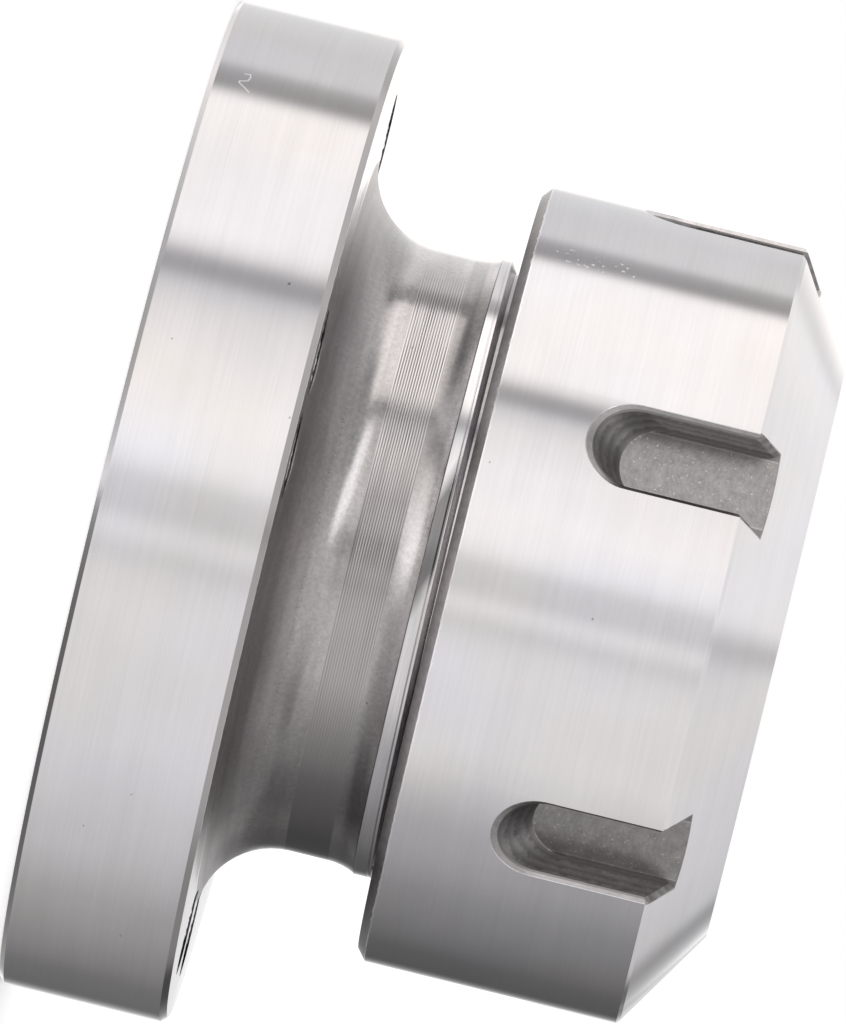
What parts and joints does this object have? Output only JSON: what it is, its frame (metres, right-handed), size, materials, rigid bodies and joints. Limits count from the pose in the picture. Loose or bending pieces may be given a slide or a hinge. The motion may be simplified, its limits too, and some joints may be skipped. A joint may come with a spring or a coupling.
{
  "type": "flange-mounted collet chuck",
  "caption": "Steel collet chuck: round mounting flange, waisted neck and slotted clamping nut that closes a spring collet in a tapered bore.",
  "frame": {"origin": "centre of the flange's back face, on the spindle axis", "axes": "+Z along the spindle axis from the back face to the nose; +X through the first of the three flange holes"},
  "size_m": [0.08, 0.08, 0.0532],
  "materials": {
    "turned_steel": "fine turned",
    "hardened_steel": "ground and oiled",
    "ground_steel": "fine ground"
  },
  "bodies": {
    "chuck": {"chuck_body": "turned_steel"},
    "spring_collet": {"collet": "hardened_steel"},
    "nut": {"clamping_nut": "ground_steel"}
  },
  "joints": [
    {"name": "collet_draw", "type": "slide", "parent": "chuck", "child": "spring_collet", "axis": [0, 0, 1], "range_m": [0, 0.01125]},
    {"name": "nut_turn", "type": "hinge", "parent": "spring_collet", "child": "nut", "pos_m": [0, 0, 0.04], "axis": [0, 0, 1], "range_deg": [0, 2700]}
  ],
  "couplings": [
    {"joint": "collet_draw", "follows": "nut_turn", "m_per_rad": 0.00023873}
  ]
}
